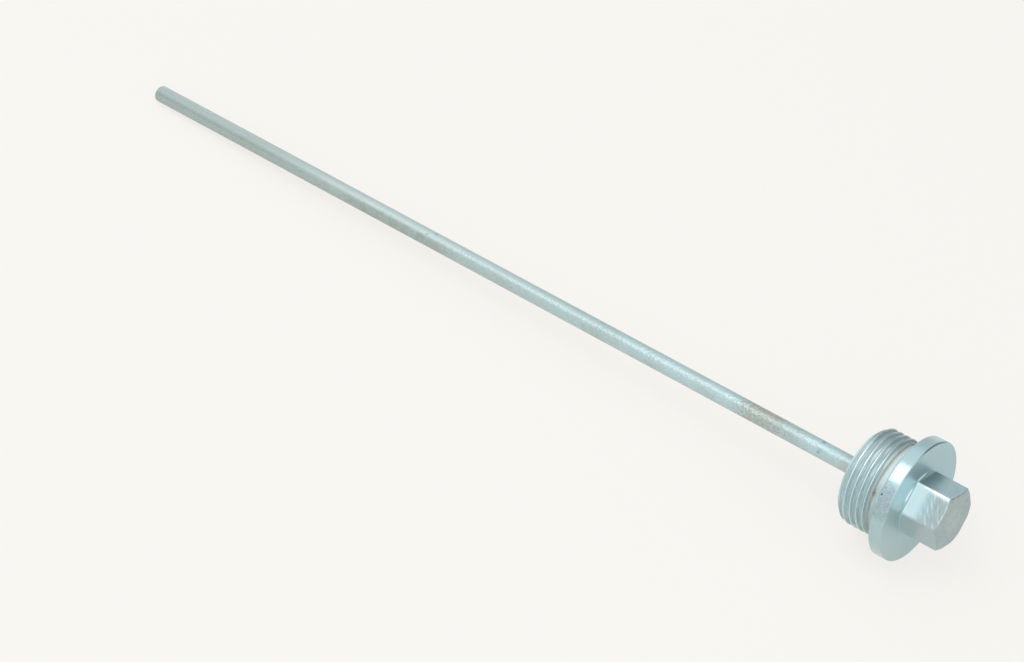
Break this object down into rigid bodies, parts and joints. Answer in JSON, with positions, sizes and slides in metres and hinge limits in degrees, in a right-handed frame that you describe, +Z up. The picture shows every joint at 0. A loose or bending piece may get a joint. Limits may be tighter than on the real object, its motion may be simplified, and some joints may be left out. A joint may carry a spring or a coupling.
{
  "type": "engine oil dipstick",
  "caption": "Screw-in oil dipstick: zinc-plated plug with hexagon, round flange and parallel thread, and a long straight round rod fixed in its threaded end.",
  "frame": {"origin": "middle of the hexagon's end face, on the ground that the dipstick stands on", "axes": "+Z up along the dipstick's axis, from the hexagon's end to the rod's tip; +X through a corner of the hexagon"},
  "size_m": [0.035, 0.035, 0.2896],
  "materials": {
    "plug_zinc": "bright blue-passivated zinc over turned and milled steel",
    "rod_zinc": "bright zinc over drawn steel, dull in patches"
  },
  "bodies": {
    "root": {"screw_plug": "plug_zinc", "dipstick_rod": "rod_zinc"}
  },
  "joints": []
}
